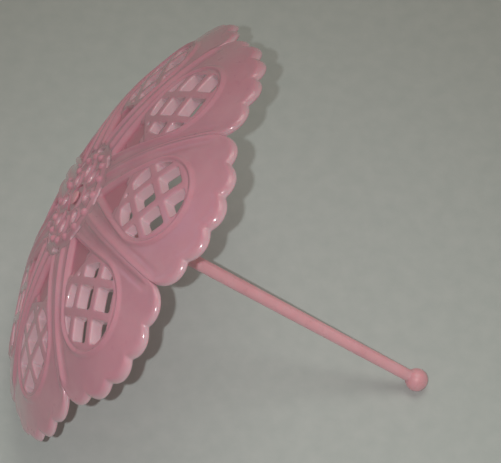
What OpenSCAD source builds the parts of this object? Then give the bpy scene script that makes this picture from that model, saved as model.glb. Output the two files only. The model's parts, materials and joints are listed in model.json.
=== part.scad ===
// Moulded toy parasol: an eight-petal openwork canopy that twirls on the neck of a ball-ended stick.
// It lies on the plane z = 0 on two of its petals and on the ball, canopy towards -X, ball towards +X.
// Millimetres.

/* [Canopy] */
// Diameter over the tips of the petals
canopy_d = 100; // [80:1:130]
// Height of the underside's centre above the petal tips
dome_rise = 14; // [8:0.5:20]
// Shape of the dome: higher has a flatter crown and a steeper rim
dome_power = 2.45; // [2:0.05:3]
// Thickness of the canopy, measured along its axis
canopy_wall = 1.5; // [1:0.1:2.5]

/* [Petal edge] */
// Radius of the arc that a petal's edge follows
petal_arc_r = 24.25; // [20:0.25:30]
// Scallops along the edge of each petal
scallops = 5; // [3:1:9]
// Depth of the dip between two scallops
scallop_depth = 1.8; // [0.5:0.1:2.4]

/* [Petal window] */
// Plain width between a petal's tip and its window
window_end_margin = 7.8; // [5:0.1:12]
// Plain width between a window's round end and the line between two petals
window_side_margin = 3.6; // [2.6:0.1:6]
// Gap between the rosette and the window's point
window_point_gap = 0.8; // [0.5:0.1:4]
// How deep the solid part of a window is sunk
window_sink = 0.5; // [0.2:0.1:0.8]
// Width of the raised line around a window
border_w = 1; // [0.6:0.1:1.6]
// Height of the raised line around a window
border_h = 0.5; // [0.2:0.1:1]

/* [Lattice] */
// Distance between the middles of neighbouring lattice bars
lattice_pitch = 6.5; // [5:0.1:9]
// Width of a lattice bar
bar_w = 1.8; // [1.2:0.1:4]
// Height of the lattice bars above the canopy
bar_h = 0.2; // [0:0.1:0.4]
// How far the lattice bars stand below the canopy's inner face
bar_drop = 0.7; // [0.1:0.1:1.2]
// Distance from the middle of a window's round end inwards to the middle of its lattice
lattice_shift = 1.9; // [0:0.1:4]
// How far the lattice's holes reach inwards from its middle
lattice_reach = 7.2; // [4:0.1:8]
// Width of plain edge between the lattice's holes and the raised line around a window
lattice_margin = 0.5; // [0:0.1:1.5]

/* [Ribs between petals] */
// Width of a rib
rib_w = 2.2; // [1.2:0.1:3]
// Height of a rib above the canopy
rib_h = 0.6; // [0.2:0.1:1]
// Distance between a petal's tip and the end of its ribs, measured towards the axis
rib_end_margin = 7; // [6:0.1:12]

/* [Rosette] */
// Radius of the rosette
rosette_r = 13; // [11:0.1:15]
// Width of the curved slots inside the rosette's edge
slot_w = 1; // [0.6:0.1:1.4]
// Turn of a slot about the axis, in degrees
slot_turn = 20; // [8:1:28]
// Width of plain edge outside the slots
slot_margin = 0.5; // [0.3:0.1:1]
// Radius of a bead
bead_r = 0.9; // [0.4:0.1:1]
// Gap between the slots and the ring of beads
bead_gap = 0.5; // [0.2:0.1:1]
// Radius of an eyelet's hole
eyelet_r = 1.2; // [0.6:0.1:1.4]
// Width of the raised ring around an eyelet
eyelet_ring_w = 0.8; // [0.4:0.1:1]
// Height of the raised ring around an eyelet
eyelet_ring_h = 0.5; // [0.2:0.1:0.8]
// Gap between the beads and the rings around the eyelets
eyelet_gap = 0.6; // [0.2:0.1:1]

/* [Socket] */
// Radius of the socket boss under the rosette
socket_r = 3.2; // [2.6:0.1:4]
// Length of the socket boss
socket_len = 6.5; // [4:0.1:9]
// How far the boss stands above the middle of the canopy's outer face
socket_stand = 0.1; // [0.1:0.1:1]

/* [Stick] */
// Distance from the petal tips' plane to the middle of the ball
ball_drop = 74; // [50:1:110]
// Diameter of the ball
ball_d = 5.2; // [4:0.1:8]
// Diameter of the shaft at the ball
shaft_low_d = 2.7; // [2:0.1:3.6]
// Diameter of the shaft at the shoulder
shaft_high_d = 3.1; // [2.2:0.1:4]
// Diameter of the shoulder under the socket
shoulder_d = 4.6; // [4:0.1:6]
// Thickness of the shoulder
shoulder_t = 1; // [0.6:0.1:2]
// Diameter of the neck that the canopy turns on
neck_d = 2; // [1.4:0.1:2.6]
// Radial clearance between the neck and the socket's bore
neck_clearance = 0.05; // [0.02:0.01:0.1]
// Gap between the socket and the shoulder, and between the socket and the button
end_play = 0.15; // [0.1:0.05:0.3]
// Diameter of the button head
button_d = 3.2; // [2.8:0.1:5]
// Height of the button head
button_h = 0.8; // [0.6:0.1:1.6]

/* [Hidden] */
$fn = 96;

petals = 8;
sector = 360 / petals;
half_sector = sector / 2;
canopy_r = canopy_d / 2;
dome_steps = 12;
// Cutters run past the faces that they cut by this much
past = 3;
// Raised features start this far inside the canopy's wall
rooted = canopy_wall / 2;

// Height of the underside at a distance r from the axis
function dome_z(r) = dome_rise * (1 - pow(r / canopy_r, dome_power));

// The petal's edge: an arc about arc_x on the petal's middle line, cut off by the lines between petals
arc_x = canopy_r - petal_arc_r;
notch_r = arc_x * cos(half_sector) + sqrt(pow(petal_arc_r, 2) - pow(arc_x * sin(half_sector), 2));
arc_span = 2 * atan2(notch_r * sin(half_sector), notch_r * cos(half_sector) - arc_x);
scallop_turn = arc_span / scallops;
scallop_half = petal_arc_r * sin(scallop_turn / 2);
scallop_r = (pow(scallop_half, 2) + pow(scallop_depth, 2)) / (2 * scallop_depth);

// The window's round end touches its end margin and both side margins
window_far = canopy_r - window_end_margin;
window_r = (window_far * sin(half_sector) - window_side_margin) / (1 + sin(half_sector));
window_x = window_far - window_r;
window_point = rosette_r + window_point_gap;
lattice_x = window_x - lattice_shift;
lattice_low = lattice_x - lattice_reach;

// Circles that the rosette's slots, beads and eyelets lie on, from its edge inwards
slot_circle_r = rosette_r - slot_margin - slot_w / 2;
bead_circle_r = slot_circle_r - slot_w / 2 - bead_gap - bead_r;
eyelet_circle_r = bead_circle_r - bead_r - eyelet_gap - eyelet_ring_w - eyelet_r;

// Heights of the stick's and socket's faces above the petal tips' plane
socket_top = dome_rise + canopy_wall + socket_stand;
socket_low = socket_top - socket_len;
shoulder_top = socket_low - end_play;
button_low = socket_top + end_play;
// The shaft ends where it meets the ball
shaft_end = -ball_drop + sqrt(pow(ball_d, 2) - pow(shaft_low_d, 2)) / 2;

// Points of the edge of the petal beside the lowest notch, as [distance below the axis, height]
rim_points = [
    for (k = [0 : scallops - 1], a = [-60 : 5 : 60])
        let (turn = (k + 0.5) * scallop_turn - arc_span / 2,
             x = arc_x + (petal_arc_r - scallop_r) * cos(turn) + scallop_r * cos(turn + a),
             y = (petal_arc_r - scallop_r) * sin(turn) + scallop_r * sin(turn + a))
        if (abs(atan2(y, x)) <= half_sector)
            [x * cos(half_sector) + y * sin(half_sector), dome_z(norm([x, y]))]];

// Angle of the stick to the ground when the petals and the ball both touch it
function rest_angle(p) =
    let (reach = ball_drop + p[1])
    acos(ball_d / 2 / norm([p[0], reach])) - atan2(reach, p[0]);
tilt = max([for (p = rim_points) rest_angle(p)]);

// How far the canopy and the ball reach along X from the middle of the petal tips' plane
canopy_back = max([for (k = [0 : dome_steps])
    let (r = notch_r * k / dome_steps)
    cos(tilt) * (dome_z(r) + canopy_wall) + sin(tilt) * r]);
ball_front = ball_drop * cos(tilt) + ball_d / 2;
rest_x = (canopy_back - ball_front) / 2;
rest_z = ball_drop * sin(tilt) + ball_d / 2;

// Lays the upright parasol (axis on Z, crown up) down on its petals and ball
module lay_down() {
    translate([rest_x, 0, rest_z])
        rotate([0, tilt - 90, 0])
            children();
}

// Layer of the dome between two radii, from low to high above the underside
module dome_layer(r_in, r_out, low, high, turn) {
    radii = [for (k = [0 : dome_steps]) r_in + (r_out - r_in) * k / dome_steps];
    under = [for (r = radii) [r, dome_z(r) + low]];
    over = [for (k = [dome_steps : -1 : 0]) [radii[k], dome_z(radii[k]) + high]];
    rotate([0, 0, -turn / 2])
        rotate_extrude(angle = turn)
            polygon(concat(under, over));
}

// Keeps the part of the children above a flat shape
module above(depth = 200) {
    translate([0, 0, -depth / 2])
        linear_extrude(depth)
            children();
}

// Plan of one petal, middle line along +X
module petal_plan() {
    translate([arc_x, 0])
        circle(petal_arc_r - scallop_depth);
    polygon([[0, 0], [arc_x, -arc_x * tan(half_sector)], [arc_x, arc_x * tan(half_sector)]]);
    for (k = [0 : scallops - 1])
        translate([arc_x, 0])
            rotate((k + 0.5) * scallop_turn - arc_span / 2)
                translate([petal_arc_r - scallop_r, 0])
                    circle(scallop_r);
}

// Plan of the teardrop window, made larger all round by grow
module window_plan(grow = 0) {
    r = window_r + grow;
    point = window_point - grow;
    reach = window_x - point;
    tangent = sqrt(pow(reach, 2) - pow(r, 2));
    slope = asin(r / reach);
    translate([window_x, 0])
        circle(r);
    polygon([[point, 0],
             [point + tangent * cos(slope), -tangent * sin(slope)],
             [window_x, 0],
             [point + tangent * cos(slope), tangent * sin(slope)]]);
}

// Plan of the lattice's holes: squares on their corners, cut off by the window's edge
module lattice_plan() {
    step = lattice_pitch / sqrt(2);
    n = ceil(window_r / step);
    intersection() {
        translate([window_x, 0])
            circle(window_r - lattice_margin);
        translate([lattice_low, -window_r])
            square([canopy_r, 2 * window_r]);
        union()
            for (i = [-n : n], j = [-n : n])
                if ((i + j) % 2 == 0)
                    translate([lattice_x + i * step, j * step])
                        rotate(45)
                            square(lattice_pitch - bar_w, center = true);
    }
}

// Plan of the two half ribs along the petal's sides
module rib_plan() {
    for (side = [-1, 1])
        rotate(side * half_sector)
            translate([rosette_r - past, -rib_w / 2])
                square([canopy_r - rib_end_margin - rosette_r + past, rib_w]);
}

module petal(number) {
    color("lightpink")
        lay_down()
            rotate([0, 0, (number - 0.5) * sector])
                difference() {
                    union() {
                        intersection() {
                            dome_layer(rosette_r, canopy_r + past, 0, canopy_wall, sector);
                            above() petal_plan();
                        }
                        intersection() {
                            dome_layer(rosette_r, canopy_r - past, rooted, canopy_wall + rib_h, sector);
                            above() rib_plan();
                        }
                        intersection() {
                            dome_layer(rosette_r, canopy_r - past, rooted, canopy_wall + border_h, sector);
                            above() window_plan(border_w);
                        }
                        intersection() {
                            dome_layer(lattice_low - bar_w / 2, canopy_r - past, -bar_drop, rooted, sector);
                            above() window_plan();
                        }
                    }
                    intersection() {
                        dome_layer(rosette_r, canopy_r - past, canopy_wall + bar_h,
                                   canopy_wall + border_h + past, sector);
                        above() window_plan();
                    }
                    intersection() {
                        dome_layer(rosette_r, lattice_low - bar_w / 2, canopy_wall - window_sink,
                                   canopy_wall + border_h + past, sector);
                        above() window_plan();
                    }
                    above() lattice_plan();
                }
}

// Plan of a slot on the middle line +X: an arc with round ends
module slot_plan() {
    turn = slot_turn / 2 - asin(slot_w / 2 / slot_circle_r);
    intersection() {
        difference() {
            circle(slot_circle_r + slot_w / 2);
            circle(slot_circle_r - slot_w / 2);
        }
        polygon([[0, 0], [2 * rosette_r, -2 * rosette_r * tan(turn)],
                 [2 * rosette_r, 2 * rosette_r * tan(turn)]]);
    }
    for (side = [-1, 1])
        rotate(side * turn)
            translate([slot_circle_r, 0])
                circle(slot_w / 2);
}

module rosette() {
    color("pink")
        lay_down()
            difference() {
                union() {
                    dome_layer(0, rosette_r, 0, canopy_wall, 360);
                    for (k = [0 : petals - 1])
                        rotate([0, 0, (k + 0.5) * sector])
                            translate([eyelet_circle_r, 0, dome_z(eyelet_circle_r) + rooted])
                                cylinder(r = eyelet_r + eyelet_ring_w,
                                         h = canopy_wall - rooted + eyelet_ring_h);
                    for (k = [0 : 2 * petals - 1])
                        rotate([0, 0, k * half_sector])
                            translate([bead_circle_r, 0, dome_z(bead_circle_r) + canopy_wall])
                                sphere(bead_r);
                }
                translate([0, 0, -past])
                    cylinder(r = socket_r, h = 2 * socket_top);
                for (k = [0 : petals - 1])
                    rotate([0, 0, (k + 0.5) * sector]) {
                        translate([eyelet_circle_r, 0, 0])
                            cylinder(r = eyelet_r, h = 2 * socket_top);
                        above() slot_plan();
                    }
            }
}

module socket() {
    color("hotpink")
        lay_down()
            translate([0, 0, socket_low])
                difference() {
                    cylinder(r = socket_r, h = socket_len);
                    translate([0, 0, -past])
                        cylinder(r = neck_d / 2 + neck_clearance, h = socket_len + 2 * past);
                }
}

module stick() {
    color("palevioletred")
        lay_down()
            rotate_extrude()
                polygon([[0, shaft_end],
                         [shaft_low_d / 2, shaft_end],
                         [shaft_high_d / 2, shoulder_top - shoulder_t],
                         [shoulder_d / 2, shoulder_top - shoulder_t],
                         [shoulder_d / 2, shoulder_top],
                         [neck_d / 2, shoulder_top],
                         [neck_d / 2, button_low],
                         [0, button_low]]);
}

module ball_end() {
    color("pink")
        lay_down()
            intersection() {
                translate([0, 0, -ball_drop])
                    sphere(d = ball_d);
                translate([-ball_d, -ball_d, shaft_end - 2 * ball_d])
                    cube([2 * ball_d, 2 * ball_d, 2 * ball_d]);
            }
}

// Round-topped head on the end of the neck
module button_head() {
    dome_r = (pow(button_d / 2, 2) + pow(button_h, 2)) / (2 * button_h);
    color("lightpink")
        lay_down()
            translate([0, 0, button_low])
                intersection() {
                    cylinder(d = button_d, h = button_h);
                    translate([0, 0, button_h - dome_r])
                        sphere(dome_r);
                }
}

petal(1);  // petal_1
petal(2);  // petal_2
petal(3);  // petal_3
petal(4);  // petal_4
petal(5);  // petal_5
petal(6);  // petal_6
petal(7);  // petal_7
petal(8);  // petal_8
rosette();
socket();
stick();
ball_end();
button_head();
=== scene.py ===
"""A toy parasol in moulded pink plastic: an openwork canopy that twirls on a ball-ended stick.

Lengths are in millimetres and angles in radians until place() turns them into metres in the row
frame. The canopy is worked out upright, with its axis on Z, its crown up and z = 0 at the petal tips,
and place() lays it down as the CAD part lies.
"""
import json
import math

import bpy
import numpy as np
from mathutils import Matrix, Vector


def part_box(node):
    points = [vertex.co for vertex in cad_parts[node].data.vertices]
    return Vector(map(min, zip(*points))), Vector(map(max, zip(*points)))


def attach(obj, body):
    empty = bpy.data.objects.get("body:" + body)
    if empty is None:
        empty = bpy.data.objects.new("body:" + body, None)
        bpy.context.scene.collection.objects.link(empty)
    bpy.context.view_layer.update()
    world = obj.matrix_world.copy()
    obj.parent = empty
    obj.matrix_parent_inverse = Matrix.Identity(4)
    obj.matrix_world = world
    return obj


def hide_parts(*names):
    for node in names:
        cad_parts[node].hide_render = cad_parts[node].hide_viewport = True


MM = 0.001

# Canopy, as the CAD part has it
CANOPY_R = 50.0
DOME_RISE = 14.0
DOME_POWER = 2.45
WALL = 1.5
PETALS = 8
HALF_SECTOR = math.pi / PETALS
ARC_R = 24.25
SCALLOPS = 5
SCALLOP_DEPTH = 1.8
ROSETTE_R = 13.0
WINDOW_END_MARGIN = 7.8
WINDOW_SIDE_MARGIN = 3.6
WINDOW_POINT_GAP = 0.8
LATTICE_PITCH = 6.5
BAR_W = 1.8
BAR_H = 0.2
BAR_DROP = 0.7
LATTICE_SHIFT = 1.9
LATTICE_REACH = 7.2
LATTICE_MARGIN = 0.5
SOCKET_R = 3.2
SOCKET_LEN = 6.5
SOCKET_STAND = 0.1

# Stick, as the CAD part has it
BALL_DROP = 74.0
BALL_R = 2.6
SHAFT_LOW_R = 1.35
SHAFT_HIGH_R = 1.55
SHOULDER_R = 2.3
SHOULDER_T = 1.0
NECK_R = 1.0
BORE_R = 1.05
END_PLAY = 0.15
BUTTON_R = 1.6
BUTTON_H = 0.8

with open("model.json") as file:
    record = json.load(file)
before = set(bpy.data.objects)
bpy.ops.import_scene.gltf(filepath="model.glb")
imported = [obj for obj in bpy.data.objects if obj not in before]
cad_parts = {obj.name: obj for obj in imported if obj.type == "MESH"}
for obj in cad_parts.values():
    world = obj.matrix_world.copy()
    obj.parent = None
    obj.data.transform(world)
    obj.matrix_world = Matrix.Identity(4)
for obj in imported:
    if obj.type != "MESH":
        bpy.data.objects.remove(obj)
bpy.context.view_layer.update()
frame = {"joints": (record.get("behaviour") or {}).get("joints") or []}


# ---------------------------------------------------------------- the frame

joint = frame["joints"][0]
axis = np.array(joint["axis"], float)
axis /= np.linalg.norm(axis)
across = np.array([0.0, 1.0, 0.0])
upwards = np.cross(across, axis)
ball_low, ball_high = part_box("ball_end")
ball_middle = (np.array(ball_low) + np.array(ball_high)) / 2
tips_middle = ball_middle + BALL_DROP * MM * axis


def place(x, y, z):
    """Upright millimetres to row-frame metres: x along upwards, y along across and z along the axis,
    counted from the middle of the petal tips' plane."""
    along = np.multiply.outer(x, upwards) + np.multiply.outer(y, across) + np.multiply.outer(z, axis)
    return tips_middle + MM * along


# ---------------------------------------------------------------- small shape functions

def smooth(t):
    """0 below t = 0, 1 above t = 1, and 3t^2 - 2t^3 between."""
    t = np.clip(t, 0, 1)
    return t * t * (3 - 2 * t)


def ridge(distance, half_width):
    """A rounded ridge: 1 on its middle line, falling as a squared cosine to 0 at half_width."""
    t = np.clip(np.abs(distance) / half_width, 0, 1)
    return np.cos(t * math.pi / 2) ** 2


def soft_max(a, b, blend):
    """The larger of a and b, rounded over where they are within blend of each other."""
    near = np.clip(0.5 + 0.5 * (a - b) / blend, 0, 1)
    return b + (a - b) * near + blend * near * (1 - near)


def round_over(distance, radius):
    """Quarter circle: 0 at an edge, rising to 1 at radius from it."""
    t = 1 - np.clip(distance / radius, 0, 1)
    return np.sqrt(1 - t * t)


def dome(r):
    """Height of the canopy's underside: DOME_RISE * (1 - (r / CANOPY_R) ^ DOME_POWER)."""
    return DOME_RISE * (1 - (r / CANOPY_R) ** DOME_POWER)


# ---------------------------------------------------------------- outlines in a petal's own plan

ARC_X = CANOPY_R - ARC_R
NOTCH_R = (ARC_X * math.cos(HALF_SECTOR)
           + math.sqrt(ARC_R ** 2 - (ARC_X * math.sin(HALF_SECTOR)) ** 2))
ARC_SPAN = 2 * math.atan2(NOTCH_R * math.sin(HALF_SECTOR), NOTCH_R * math.cos(HALF_SECTOR) - ARC_X)
SCALLOP_HALF = ARC_R * math.sin(ARC_SPAN / SCALLOPS / 2)
SCALLOP_R = (SCALLOP_HALF ** 2 + SCALLOP_DEPTH ** 2) / (2 * SCALLOP_DEPTH)

WINDOW_FAR = CANOPY_R - WINDOW_END_MARGIN
WINDOW_R = (WINDOW_FAR * math.sin(HALF_SECTOR) - WINDOW_SIDE_MARGIN) / (1 + math.sin(HALF_SECTOR))
WINDOW_X = WINDOW_FAR - WINDOW_R
WINDOW_POINT = ROSETTE_R + WINDOW_POINT_GAP
WINDOW_TIP_R = 0.5
LATTICE_X = WINDOW_X - LATTICE_SHIFT
LATTICE_LOW = LATTICE_X - LATTICE_REACH
HOLE_CORNER_R = 0.5


def petal_edge(turn):
    """Radius of the scalloped edge in the direction turn from the petal's middle line: the farthest
    point of the scallop circles on that ray, with the dips between them a little rounded."""
    sharpness = 5.0
    total = np.zeros_like(turn)
    for k in range(SCALLOPS):
        angle = (k + 0.5) * ARC_SPAN / SCALLOPS - ARC_SPAN / 2
        cx = ARC_X + (ARC_R - SCALLOP_R) * math.cos(angle)
        cy = (ARC_R - SCALLOP_R) * math.sin(angle)
        along = cx * np.cos(turn) + cy * np.sin(turn)
        beside = cx * np.sin(turn) - cy * np.cos(turn)
        reach = along + np.sqrt(np.maximum(SCALLOP_R ** 2 - beside ** 2, 0))
        total += np.where(np.abs(beside) < SCALLOP_R, np.exp(sharpness * (reach - CANOPY_R)), 0)
    return CANOPY_R + np.log(total) / sharpness


def window_distance(x, y):
    """Signed distance to the teardrop window, negative inside: a round end of WINDOW_R and a tip of
    WINDOW_TIP_R, joined by their common tangents."""
    length = WINDOW_X - WINDOW_POINT - WINDOW_TIP_R
    slope = (WINDOW_R - WINDOW_TIP_R) / length
    rise = math.sqrt(1 - slope * slope)
    side = np.abs(y)
    inward = WINDOW_X - x
    where = -slope * side + rise * inward
    round_end = np.hypot(side, inward) - WINDOW_R
    tip = np.hypot(side, inward - length) - WINDOW_TIP_R
    flank = rise * side + slope * inward - WINDOW_R
    return np.where(where < 0, round_end, np.where(where > rise * length, tip, flank))


def lattice_cells(x, y):
    """Place within the lattice's repeating square, along its two diagonals; (0, 0) is a hole's middle."""
    a = (x - LATTICE_X + y) / math.sqrt(2)
    b = (y - x + LATTICE_X) / math.sqrt(2)
    a -= LATTICE_PITCH * np.round(a / LATTICE_PITCH)
    b -= LATTICE_PITCH * np.round(b / LATTICE_PITCH)
    return a, b


def cell_distance(x, y):
    """Signed distance to the lattice's squares with their rounded corners, negative inside one."""
    a, b = lattice_cells(x, y)
    half = (LATTICE_PITCH - BAR_W) / 2 - HOLE_CORNER_R
    qa, qb = np.abs(a) - half, np.abs(b) - half
    outside = np.hypot(np.maximum(qa, 0), np.maximum(qb, 0))
    return outside + np.minimum(np.maximum(qa, qb), 0) - HOLE_CORNER_R


def lattice_distance(x, y):
    """Signed distance to the lattice's holes, negative in a hole: its squares, cut off by the window's
    round end and by a straight line LATTICE_REACH inwards of its middle."""
    from_round_end = np.hypot(x - WINDOW_X, y) - WINDOW_R + LATTICE_MARGIN
    zone = soft_max(from_round_end, LATTICE_LOW - x, HOLE_CORNER_R)
    return soft_max(cell_distance(x, y), zone, 0.8 * HOLE_CORNER_R)


# Rosette: eyelets and slots lie on the petals' middle lines, beads on every half sector
SLOT_W = 1.0
SLOT_MARGIN = 0.5
SLOT_R = ROSETTE_R - SLOT_MARGIN - SLOT_W / 2
SLOT_TURN = math.radians(10) - math.asin(SLOT_W / 2 / SLOT_R)
BEAD_R = 0.9
BEAD_GAP = 0.5
BEAD_CIRCLE_R = SLOT_R - SLOT_W / 2 - BEAD_GAP - BEAD_R
EYELET_X = 6.6
EYELET_LONG = 1.5
EYELET_WIDE = 1.1
EYELET_TAPER = 0.18


def oval_distance(x, y):
    """Signed distance, nearly, to an eyelet's egg-shaped hole, wider at its outer end."""
    wide = EYELET_WIDE * (1 + EYELET_TAPER * (x - EYELET_X) / EYELET_LONG)
    return (np.hypot((x - EYELET_X) / EYELET_LONG, y / wide) - 1) * EYELET_WIDE


def slot_distance(x, y):
    """Signed distance to the curved slot at the rosette's edge: an arc of SLOT_R with round ends."""
    turn = np.clip(np.arctan2(y, x), -SLOT_TURN, SLOT_TURN)
    return np.hypot(x - SLOT_R * np.cos(turn), y - SLOT_R * np.sin(turn)) - SLOT_W / 2


def opening_distance(x, y):
    """Signed distance to the nearest opening in a petal's own plan, negative in an opening."""
    return np.minimum(np.minimum(lattice_distance(x, y), oval_distance(x, y)), slot_distance(x, y))


# ---------------------------------------------------------------- relief

# Round the openings: how far in the rounding starts, its share of the wall, and the fall over a bar
EDGE_ROUNDING = 0.22
EDGE_SHARE = 0.25
BAR_FALL = 0.06

# On the petals: heights above the plain outer dome, and half widths
RIB_H = 0.65
RIB_HALF_W = 1.45
RIB_FLANK = 1.0
RIB_END_R = 44.0
GROOVE_DEPTH = 0.1
GROOVE_HALF_W = 0.9
BORDER_H = 0.55
BORDER_HALF_W = 0.85
BORDER_MIDDLE = 0.65
SINK = 0.6
WEB_REACH = 3.0
WEB_SHARE = 0.7
CROWN_H = 0.5
LIP_H = 0.1
LIP_HALF_W = 1.4
LIP_MIDDLE = 0.9

# On the rosette
COLLAR_H = 0.4
RING_H = 0.45
RING_HALF_W = 0.8
SEAT_H = 0.3
BEAD_SHARE = 0.75


def window_shares(x, y):
    """Two numbers from 0 to 1: inside the window, and inside the part of it that the lattice fills."""
    soft = 0.5
    return smooth(-window_distance(x, y) / soft), smooth((x - LATTICE_LOW + BAR_W / 2) / soft)


def relief(x, y):
    """Height of the moulding above the plain outer dome, in a petal's own plan: the sum of a rib with
    a faint groove beside it on each line between petals, a line round the window, the sunk window, its
    raised bars, a slight crown across the petal, a lip at the edge and the rosette's own relief."""
    r = np.hypot(x, y)
    turn = np.arctan2(y, x)
    from_line = r * np.sin(HALF_SECTOR - np.abs(turn))
    window = window_distance(x, y)

    rib_fade = smooth((r - ROSETTE_R + 0.4) / 1.2) * smooth((RIB_END_R - r) / 2.5)
    rib = RIB_H * rib_fade * smooth((RIB_HALF_W - from_line) / RIB_FLANK)
    groove = -GROOVE_DEPTH * ridge(from_line - RIB_HALF_W - 0.65, GROOVE_HALF_W) * rib_fade

    border = BORDER_H * ridge(window - BORDER_MIDDLE, BORDER_HALF_W) * smooth((r - ROSETTE_R + 0.2) / 1.2)
    inside, in_lattice = window_shares(x, y)
    on_bars = smooth((cell_distance(x, y) + 0.5) / 0.6)
    near_lattice = smooth((x - LATTICE_LOW + WEB_REACH) / 1.5)
    bars = inside * (SINK + BAR_H) * np.maximum(in_lattice, near_lattice * on_bars * WEB_SHARE)

    crown = CROWN_H * ridge(turn, HALF_SECTOR) * smooth((r - 24) / 22)
    lip = LIP_H * ridge(petal_edge(turn) - r - LIP_MIDDLE, LIP_HALF_W) * smooth((r - 30) / 5)
    return rib + groove + border - SINK * inside + bars + crown + lip + rosette_relief(x, y, r, turn)


def underside(x, y):
    """How far the lattice's bars stand below the plain inner face."""
    inside, in_lattice = window_shares(x, y)
    return BAR_DROP * inside * in_lattice


def rosette_relief(x, y, r, turn):
    """Height of the rosette's features: a collar round the socket, a raised ring round each eyelet, a
    low ring that carries the beads, and low round beads on every half sector."""
    within = smooth((ROSETTE_R - r) / 0.7)
    collar = COLLAR_H * ridge(r - SOCKET_R, 1.2)
    rings = RING_H * ridge(oval_distance(x, y) - 0.45, RING_HALF_W)
    seat = SEAT_H * ridge(r - BEAD_CIRCLE_R, BEAD_R + 0.5)
    nearest = np.round(turn / HALF_SECTOR) * HALF_SECTOR
    gap = np.hypot(x - BEAD_CIRCLE_R * np.cos(nearest), y - BEAD_CIRCLE_R * np.sin(nearest))
    beads = BEAD_SHARE * np.sqrt(np.maximum(BEAD_R ** 2 - gap ** 2, 0))
    return within * (np.maximum(collar, rings) + seat + beads)


# ---------------------------------------------------------------- meshes

def make_object(name, points, faces, flat=None, tints=None):
    """A mesh object from an array of points and an array of four-cornered faces. A face with a
    repeated corner becomes a triangle. flat marks faces that keep hard edges; tints are numbers for
    each point that the materials read."""
    used, renumbered = np.unique(faces, return_inverse=True)
    faces = renumbered.reshape(faces.shape)
    keep = faces != np.roll(faces, -1, axis=1)
    sizes = keep.sum(axis=1)
    whole = sizes >= 3
    corners = faces[whole][keep[whole]]
    sizes = sizes[whole]
    mesh = bpy.data.meshes.new(name)
    mesh.vertices.add(len(used))
    mesh.vertices.foreach_set("co", points[used].astype(np.float32).ravel())
    mesh.loops.add(len(corners))
    mesh.loops.foreach_set("vertex_index", corners.astype(np.int32))
    mesh.polygons.add(len(sizes))
    mesh.polygons.foreach_set("loop_start", (np.cumsum(sizes) - sizes).astype(np.int32))
    mesh.update(calc_edges=True)
    if flat is not None:
        mesh.attributes.new("sharp_face", "BOOLEAN", "FACE").data.foreach_set("value", flat[whole])
    for tint, values in (tints or {}).items():
        layer = mesh.attributes.new(tint, "FLOAT", "POINT")
        layer.data.foreach_set("value", values[used].astype(np.float32))
    mesh.validate()
    made = bpy.data.objects.new(name, mesh)
    bpy.context.scene.collection.objects.link(made)
    return made


def opening_walls(cells, top, under, wraps):
    """Upright faces between the outer and inner sheets wherever a kept cell of the grid meets a
    dropped one. cells says which cells are kept; top and under number the two sheets' points."""
    columns = slice(None) if wraps else slice(None, -1)
    a, b = top[1:-1, columns], np.roll(top, -1, axis=1)[1:-1, columns]
    c, d = under[1:-1, columns], np.roll(under, -1, axis=1)[1:-1, columns]
    inner, outer = cells[:-1], cells[1:]
    facing_in = np.stack([a, b, d, c], -1)[~inner & outer]
    facing_out = np.stack([b, a, c, d], -1)[inner & ~outer]

    columns = slice(None) if wraps else slice(1, -1)
    a, b = top[:-1, columns], top[1:, columns]
    c, d = under[:-1, columns], under[1:, columns]
    left, right = (np.roll(cells, 1, axis=1), cells) if wraps else (cells[:, :-1], cells[:, 1:])
    facing_left = np.stack([b, a, c, d], -1)[~left & right]
    facing_right = np.stack([a, b, d, c], -1)[left & ~right]
    return [facing_in, facing_out, facing_left, facing_right]


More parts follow.
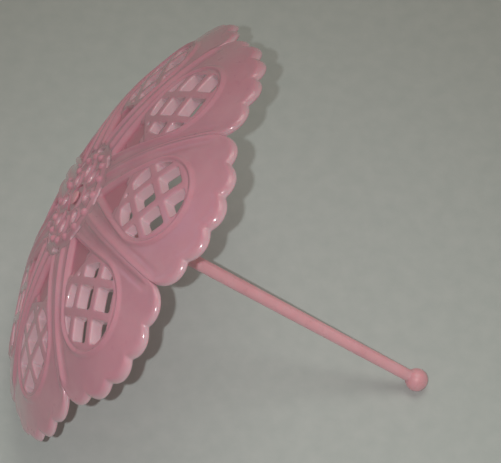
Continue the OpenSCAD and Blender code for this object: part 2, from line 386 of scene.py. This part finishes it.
def canopy_patch(name, r, turn, middle, wraps, rim_rounding):
    """One piece of the canopy as an outer and an inner sheet on the same grid of r and turn (turn
    counted from the petal's middle line, middle the direction of that line). Openings have upright
    walls whose edges are rounded over EDGE_SHARE of the wall. Where rim_rounding is given (0 at the
    edge to 1) both sheets close on the middle of the wall at the rim; plain walls close the rest."""
    x, y = r * np.cos(turn), r * np.sin(turn)
    gap = opening_distance(x, y)
    solid = gap > 0
    cells = solid[:-1] | solid[1:]
    sideways = np.roll(cells, -1, axis=1) if wraps else cells[:, 1:]
    cells = (cells if wraps else cells[:, :-1]) | sideways

    # Points of a kept cell that lie in an opening move onto its edge, and those just outside it keep
    # clear of them
    touched = np.zeros_like(solid)
    columns = r.shape[1]
    for di in (0, 1):
        for dj in (0, 1):
            rows = slice(di, di + cells.shape[0])
            if wraps:
                touched[rows] |= np.roll(cells, dj, axis=1)
            else:
                touched[rows, dj:dj + cells.shape[1]] |= cells
    snapped = touched & ~solid
    spacing, longest_move, step = 0.2, 0.15, 0.01
    target = np.where(snapped, 0.0, spacing * 0.7 + 0.3 * gap)
    moving = snapped | (solid & (gap < spacing))
    for _ in range(5):
        gx = (opening_distance(x + step, y) - opening_distance(x - step, y)) / (2 * step)
        gy = (opening_distance(x, y + step) - opening_distance(x, y - step)) / (2 * step)
        off = np.where(moving, (opening_distance(x, y) - target) / np.maximum(gx * gx + gy * gy, 0.2), 0)
        off = np.clip(off, -longest_move, longest_move)
        x, y = x - off * gx, y - off * gy

    r = np.hypot(x, y)
    gap = np.where(snapped, 0, np.maximum(opening_distance(x, y), 0))
    from_edge = round_over(gap, EDGE_ROUNDING)
    rounding = 1 - EDGE_SHARE * (1 - from_edge)
    if rim_rounding is not None:
        rounding = np.minimum(rounding, rim_rounding)
        from_edge = np.minimum(from_edge, rim_rounding)
    raised = relief(x, y) - BAR_FALL * (1 - round_over(gap, BAR_W / 2))
    mid = dome(r) + 0.5 * WALL
    outer = mid + (0.5 * WALL + raised) * rounding
    inner = mid - (0.5 * WALL + underside(x, y)) * rounding

    c, s = np.cos(middle), np.sin(middle)
    px, py = c * x - s * y, s * x + c * y
    points = np.concatenate([place(px, py, outer).reshape(-1, 3), place(px, py, inner).reshape(-1, 3)])
    top = np.arange(r.size).reshape(r.shape)
    under = top + r.size
    if rim_rounding is not None:
        under[-1] = top[-1]

    def around(index, j):
        return np.roll(index, -j, axis=1) if wraps else index[:, j:index.shape[1] - 1 + j]

    def quads(index):
        return np.stack([around(index, 0)[:-1], around(index, 0)[1:],
                         around(index, 1)[1:], around(index, 1)[:-1]], -1)[cells]

    faces = [quads(top), quads(under)[:, ::-1]]
    walls = [np.stack([around(top, 0)[0], around(top, 1)[0], around(under, 1)[0], around(under, 0)[0]], -1)]
    if rim_rounding is None:
        walls.append(np.stack([around(top, 1)[-1], around(top, 0)[-1],
                               around(under, 0)[-1], around(under, 1)[-1]], -1))
    if not wraps:
        walls.append(np.stack([top[1:, 0], top[:-1, 0], under[:-1, 0], under[1:, 0]], -1))
        walls.append(np.stack([top[:-1, -1], top[1:, -1], under[1:, -1], under[:-1, -1]], -1))
    walls += opening_walls(cells, top, under, wraps)
    smooth_count = sum(len(f) for f in faces)
    faces = np.concatenate(faces + walls)
    flat = np.arange(len(faces)) >= smooth_count

    # Masks for painted light in the canopy's colour: one for a painted highlight on the walls and edges of
    # openings and at the rim, two for painted shade on raised tops and in sunk places.
    edge = np.concatenate([(1 - from_edge).ravel()] * 2)
    painted_raised_shade = np.concatenate([np.clip(raised / SINK, 0, 1).ravel(), np.zeros(r.size)])
    painted_hollow_shade = np.concatenate([np.clip(-raised / SINK, 0, 1).ravel(), np.zeros(r.size)])
    tints = {"edge": edge, "raised": painted_raised_shade, "painted_hollow_shade": painted_hollow_shade}
    return make_object(name, points, faces, flat, tints)


def make_petal(number):
    """One petal: rays from the rosette's edge to the scalloped rim, with the last rows on a quarter
    circle so that the rim is truly round."""
    columns, rows, rim_rows = 144, 160, 9
    rim_r = 0.6
    turn = np.linspace(-HALF_SECTOR, HALF_SECTOR, columns + 1)[None, :]
    edge = petal_edge(turn)
    share = np.linspace(0, 1, rows + 1)[:, None]
    body = ROSETTE_R + (edge - rim_r - ROSETTE_R) * share
    arc = np.linspace(math.pi / 2, 0, rim_rows + 1)[1:, None]
    rim = edge - rim_r * (1 - np.cos(arc))
    r = np.concatenate([body, rim])
    rounding = np.concatenate([np.ones_like(body), np.sin(arc) + 0 * edge])
    middle = (2 * number - 1) * HALF_SECTOR
    return canopy_patch(f"petal_{number}_skin", r, turn + 0 * r, middle, False, rounding)


def make_rosette():
    """The pierced crown of the canopy: rays from the socket to the petals, all the way round. The
    plan of one petal repeats in every sector."""
    per_sector, rows = 60, 76
    turn = np.arange(PETALS * per_sector) * 2 * HALF_SECTOR / per_sector
    folded = (turn + HALF_SECTOR) % (2 * HALF_SECTOR) - HALF_SECTOR
    r = np.linspace(SOCKET_R, ROSETTE_R, rows + 1)[:, None] + 0 * turn
    return canopy_patch("rosette_skin", r, folded + 0 * r, turn - folded + HALF_SECTOR, True, None)


def turned(name, profile, columns=96, scale=None):
    """A turned piece: profile is an array of (radius, height) from bottom to top outside, carried
    round the axis. A radius of 0 at both ends makes poles; otherwise the profile is a closed loop.
    scale multiplies the radius by a function of turn and height."""
    radius, height = profile[:, 0][:, None], profile[:, 1][:, None]
    turn = np.linspace(0, 2 * math.pi, columns, endpoint=False)[None, :]
    wide = radius * (1 if scale is None else scale(turn, height))
    points = place(wide * np.cos(turn), wide * np.sin(turn), height + 0 * turn).reshape(-1, 3)
    index = np.arange(len(points)).reshape(len(profile), columns)
    poles = profile[0, 0] == 0 and profile[-1, 0] == 0
    if poles:
        index[[0, -1]] = index[[0, -1], :1]
    lower = index[:-1] if poles else index
    upper = index[1:] if poles else np.roll(index, -1, axis=0)
    faces = np.stack([lower, np.roll(lower, -1, axis=1), np.roll(upper, -1, axis=1), upper], -1)
    return make_object(name, points, faces.reshape(-1, 4))


def bend(middle_r, middle_z, radius, start, end, steps=10):
    """Points (r, z) on an arc about (middle_r, middle_z) from one angle to another, in degrees."""
    angle = np.radians(np.linspace(start, end, steps))
    return np.stack([middle_r + radius * np.cos(angle), middle_z + radius * np.sin(angle)], 1)


def line(r0, z0, r1, z1, steps):
    """Evenly spaced points (r, z) from one point to another."""
    return np.linspace((r0, z0), (r1, z1), steps)


SOCKET_TOP = DOME_RISE + WALL + SOCKET_STAND
SOCKET_LOW = SOCKET_TOP - SOCKET_LEN
SHOULDER_TOP = SOCKET_LOW - END_PLAY
BUTTON_LOW = SOCKET_TOP + END_PLAY


def parting_line(turn, height):
    """A fine raised line down each side where the two halves of the mould met."""
    return 1 + 0.022 * np.exp(-(np.sin(turn) / 0.07) ** 2) + 0 * height


def make_stick():
    """The tapering shaft, flared a little where it meets the ball, with its shoulder and neck."""
    foot = -BALL_DROP + math.sqrt(BALL_R ** 2 - SHAFT_LOW_R ** 2)
    flare = 0.7
    start = np.array([[0, foot], [SHAFT_LOW_R * 0.5, foot]])
    fillet = bend(SHAFT_LOW_R + flare, foot + 0.45, flare, 215, 180, 8)
    shaft_top = SHOULDER_TOP - SHOULDER_T
    shaft = line(SHAFT_LOW_R, foot + 0.6, SHAFT_HIGH_R, shaft_top - 0.5, 120)
    under = bend(SHAFT_HIGH_R + 0.5, shaft_top - 0.5, 0.5, 170, 95, 8)
    side = bend(SHOULDER_R - 0.25, shaft_top + 0.25, 0.25, -90, 0, 6)
    lip = bend(SHOULDER_R - 0.25, SHOULDER_TOP - 0.25, 0.25, 0, 90, 6)
    neck = np.array([[NECK_R, SHOULDER_TOP], [NECK_R, BUTTON_LOW], [0, BUTTON_LOW]])
    return turned("stick_moulding", np.concatenate([start, fillet, shaft, under, side, lip, neck]), 96,
                  parting_line)


def make_ball():
    """The ball on the end of the stick, with the small flat nub left where the plastic was fed in."""
    low = -BALL_DROP - BALL_R
    nub = np.array([[0, low + 0.02], [0.42, low + 0.02], [0.5, low + 0.06], [0.62, low + 0.1]])
    wide = math.degrees(math.acos(0.7 / BALL_R))
    round_side = bend(0, -BALL_DROP, BALL_R, -wide, 88.5, 60)
    top = np.array([[0, -BALL_DROP + BALL_R]])
    return turned("ball_moulding", np.concatenate([nub, round_side, top]), 96, parting_line)


def make_socket():
    """The boss under the rosette that turns on the neck: a tube with rounded rims."""
    outer_top = bend(SOCKET_R - 0.45, SOCKET_TOP - 0.45, 0.45, 0, 90)
    inner_top = bend(BORE_R + 0.15, SOCKET_TOP - 0.15, 0.15, 90, 180, 5)
    inner_low = bend(BORE_R + 0.15, SOCKET_LOW + 0.15, 0.15, 180, 270, 5)
    outer_low = bend(SOCKET_R - 0.35, SOCKET_LOW + 0.35, 0.35, -90, 0)
    return turned("socket_moulding", np.concatenate([outer_top, inner_top, inner_low, outer_low]))


def make_button():
    """The end of the neck, flattened to a low button that keeps the canopy on, with a dimple."""
    rim = bend(BUTTON_R - 0.3, BUTTON_LOW + 0.3, 0.3, -90, 10, 8)
    wide = np.linspace(BUTTON_R - 0.06, 0.25, 14)
    fall = (wide / BUTTON_R) ** 2 * (BUTTON_H - 0.4)
    crown = np.stack([wide, BUTTON_LOW + BUTTON_H - fall], 1)
    dimple = np.array([[0.12, BUTTON_LOW + BUTTON_H - 0.05], [0, BUTTON_LOW + BUTTON_H - 0.07]])
    bottom = np.array([[0, BUTTON_LOW]])
    return turned("button_moulding", np.concatenate([bottom, rim, crown, dimple]), 64)


# ---------------------------------------------------------------- finishes

class Wire:
    """A number or colour on its way between shader nodes; + - and * on it add Math nodes."""

    def __init__(self, finish, socket):
        self.finish, self.socket = finish, socket

    def maths(self, operation, first, second):
        return self.finish.add("ShaderNodeMath", {"operation": operation}, {0: first, 1: second})

    def __add__(self, other):
        return self.maths("ADD", self, other)

    def __sub__(self, other):
        return self.maths("SUBTRACT", self, other)

    def __rsub__(self, other):
        return self.maths("SUBTRACT", other, self)

    def __mul__(self, other):
        return self.maths("MULTIPLY", self, other)

    __radd__ = __add__
    __rmul__ = __mul__


class Finish:
    """A material being put together round its Principled shader."""

    def __init__(self, name):
        self.material = bpy.data.materials.new(name)
        self.material.use_nodes = True
        self.tree = self.material.node_tree
        self.shader = self.tree.nodes["Principled BSDF"]

    def add(self, kind, settings, inputs, output=0):
        """Adds a node, sets it up, feeds its sockets with values or wires and gives back an output."""
        node = self.tree.nodes.new(kind)
        for key, value in settings.items():
            setattr(node, key, value)
        for key, value in inputs.items():
            self.feed(node.inputs[key], value)
        return Wire(self, node.outputs[output])

    def feed(self, socket, value):
        if isinstance(value, Wire):
            self.tree.links.new(value.socket, socket)
        else:
            socket.default_value = value

    def surface(self, **inputs):
        """Feeds the Principled shader's sockets, named with underscores for spaces."""
        for key, value in inputs.items():
            self.feed(self.shader.inputs[key.replace("_", " ")], value)

    def noise(self, size, detail=2.0, seed=0.0):
        """Soft noise in object space whose blotches are about size millimetres across."""
        where = self.add("ShaderNodeTexCoord", {}, {}, 3)
        if seed:
            offset = (seed, seed, seed)
            where = self.add("ShaderNodeVectorMath", {"operation": "ADD"}, {0: where, 1: offset})
        scale = 1 / (size * MM)
        return self.add("ShaderNodeTexNoise", {}, {"Vector": where, "Scale": scale, "Detail": detail})

    def spread(self, value, low, high, to_low=0.0, to_high=1.0):
        """Maps low to high on a value onto another range, clamped."""
        return self.add("ShaderNodeMapRange", {}, {0: value, 1: low, 2: high, 3: to_low, 4: to_high})

    def mix(self, share, first, second):
        """Blends two colours."""
        return self.add("ShaderNodeMix", {"data_type": "RGBA"}, {0: share, 6: first, 7: second}, 2)

    def tint(self, name):
        """A number kept on the mesh's points."""
        return self.add("ShaderNodeAttribute", {"attribute_name": name}, {}, 2)


def colour(red, green, blue):
    return (red, green, blue, 1.0)


def canopy_plastic():
    """Glossy pink plastic with faint flow clouds and a surface that is not quite even. Painted light is
    laid into its colour: a paler pink painted on the walls and edges of openings and at the rim as
    painted highlight, and a deeper pink painted on raised tops and in sunk places as painted shade."""
    finish = Finish("canopy_plastic")
    clouds = finish.spread(finish.noise(9, 3), 0.35, 0.65)
    base = finish.mix(clouds, colour(0.70, 0.36, 0.45), colour(0.76, 0.42, 0.505))
    # Painted shade: a darker, deeper pink in the grooves and sunk windows.
    base = finish.mix(finish.tint("painted_hollow_shade") * 0.8, base, colour(0.64, 0.24, 0.32))
    # Painted shade: a deeper pink on raised tops, for how the light falls on them.
    base = finish.mix(finish.tint("raised") * 0.5, base, colour(0.79, 0.37, 0.47))
    # Painted highlight: a paler pink on the walls and edges of openings and at the rim, standing in for the
    # light they catch.
    base = finish.mix(finish.tint("edge") * 0.85, base, colour(0.82, 0.60, 0.67))
    smear = finish.noise(2.5, 3, 1.7)
    waves = finish.noise(1.1, 2, 0.6)
    grain = finish.noise(0.25, 1, 2.3)
    bumps = finish.add("ShaderNodeBump", {}, {"Strength": 0.3, "Distance": 0.0001,
                                              "Height": waves + grain * 0.1})
    finish.surface(Base_Color=base, Roughness=finish.spread(smear, 0.3, 0.7, 0.27, 0.40), Normal=bumps,
                   Subsurface_Weight=0.5, Subsurface_Radius=(1.0, 0.4, 0.5), Subsurface_Scale=0.0007,
                   Specular_IOR_Level=0.15, Coat_Weight=1.0, Coat_Roughness=0.15, IOR=1.45)
    return finish.material


def stick_plastic():
    """The same plastic in a slightly warmer pink, more rubbed from handling."""
    finish = Finish("stick_plastic")
    clouds = finish.spread(finish.noise(6, 3), 0.35, 0.65)
    base = finish.mix(clouds, colour(0.88, 0.47, 0.53), colour(0.93, 0.53, 0.59))
    rubs = finish.spread(finish.noise(1.6, 4, 3.1), 0.35, 0.7, 0.26, 0.44)
    bumps = finish.add("ShaderNodeBump", {}, {"Strength": 0.3, "Distance": 0.0001,
                                              "Height": finish.noise(0.8, 3)})
    finish.surface(Base_Color=base, Roughness=rubs, Normal=bumps, Subsurface_Weight=0.4,
                   Subsurface_Radius=(1.0, 0.4, 0.5), Subsurface_Scale=0.0007,
                   Coat_Weight=0.15, Coat_Roughness=0.12, IOR=1.45)
    return finish.material


def table_paper():
    """A pale grey-green matt sheet with faint fibre mottling."""
    finish = Finish("table_paper")
    mottle = finish.spread(finish.noise(4, 5), 0.3, 0.7)
    base = finish.mix(mottle, colour(0.535, 0.61, 0.60), colour(0.575, 0.645, 0.635))
    bumps = finish.add("ShaderNodeBump", {}, {"Strength": 0.15, "Distance": 0.0001,
                                              "Height": finish.noise(0.5, 3)})
    finish.surface(Base_Color=base, Roughness=0.9, Normal=bumps)
    return finish.material


# ---------------------------------------------------------------- the parasol

def fit(piece, node, body, material):
    """Gives a piece its material and puts it in a CAD node's place."""
    piece.data.materials.append(material)
    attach(piece, body)
    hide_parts(node)


pink = canopy_plastic()
for number in range(1, PETALS + 1):
    fit(make_petal(number), f"petal_{number}", "canopy", pink)
fit(make_rosette(), "rosette", "canopy", pink)
fit(make_socket(), "socket", "canopy", pink)

dusky = stick_plastic()
fit(make_stick(), "stick", "stick", dusky)
fit(make_ball(), "ball_end", "stick", dusky)
fit(make_button(), "button_head", "stick", dusky)


# ---------------------------------------------------------------- floor, light and camera

def unit(vector):
    return np.array(vector, float) / np.linalg.norm(vector)


def aim(thing, position, forward, roll=0.0):
    """Places a camera or lamp: it looks along forward, its right side level, then rolled."""
    forward = unit(forward)
    right = unit(np.cross(forward, (0, 0, 1)))
    up = np.cross(right, forward)
    c, s = math.cos(roll), math.sin(roll)
    right, up = c * right + s * up, c * up - s * right
    matrix = np.eye(4)
    matrix[:3, 0], matrix[:3, 1], matrix[:3, 2], matrix[:3, 3] = right, up, -forward, position
    thing.matrix_world = Matrix(matrix.tolist())
    return right, up


def direction(azimuth, elevation):
    """The way a camera looks: azimuth 0 along +Y, 90 along -X; elevation is its height, in degrees."""
    a, e = math.radians(azimuth), math.radians(elevation)
    return np.array([-math.sin(a) * math.cos(e), math.cos(a) * math.cos(e), -math.sin(e)])


def add_lamp(name, kind, position, forward, energy, tone, **settings):
    data = bpy.data.lights.new(name, kind)
    data.energy, data.color = energy, tone
    for key, value in settings.items():
        setattr(data, key, value)
    lamp = bpy.data.objects.new(name, data)
    bpy.context.scene.collection.objects.link(lamp)
    aim(lamp, position, forward)


table_mesh = bpy.data.meshes.new("table")
table_mesh.from_pydata([(-1.5, -1.5, 0), (1.5, -1.5, 0), (1.5, 1.5, 0), (-1.5, 1.5, 0)], [], [(0, 1, 2, 3)])
table = bpy.data.objects.new("table", table_mesh)
table_mesh.materials.append(table_paper())
bpy.context.scene.collection.objects.link(table)

camera_data = bpy.data.cameras.new("camera")
camera_data.lens = 179.6
camera_data.sensor_width = 36.0
camera_data.clip_start = 0.05
camera_data.clip_end = 20
camera = bpy.data.objects.new("camera", camera_data)
bpy.context.scene.collection.objects.link(camera)
camera_forward = direction(11.745, 55.36)
camera_place = np.array([0.0041, 0.0059, 0.040]) - 0.5391 * camera_forward
camera_right, camera_up = aim(camera, camera_place, camera_forward, math.radians(0.96))
bpy.context.scene.camera = camera

flash_place = camera_place - 0.0206 * camera_right + 0.0019 * camera_up
flash_aim = np.array([0.01, -0.06, 0.0]) - flash_place
add_lamp("flash", "SPOT", flash_place, flash_aim, 4.0, (1.0, 0.98, 0.96),
         shadow_soft_size=0.0025, spot_size=math.radians(34), spot_blend=1.0)
add_lamp("window", "AREA", (-0.85, 0.2, 0.32), (0.85, -0.2, -0.3), 0.12, (0.55, 0.65, 1.0),
         shape="RECTANGLE", size=0.22, size_y=0.3)
add_lamp("ceiling", "AREA", (0.1, 0.3, 1.1), (-0.1, -0.28, -1.0), 2.5, (1.0, 0.94, 0.84),
         shape="DISK", size=0.7)

world = bpy.data.worlds.new("room")
world.use_nodes = True
world.node_tree.nodes["Background"].inputs["Color"].default_value = (1.0, 0.84, 0.72, 1.0)
world.node_tree.nodes["Background"].inputs["Strength"].default_value = 0.19
bpy.context.scene.world = world
bpy.context.scene.view_settings.view_transform = "Standard"
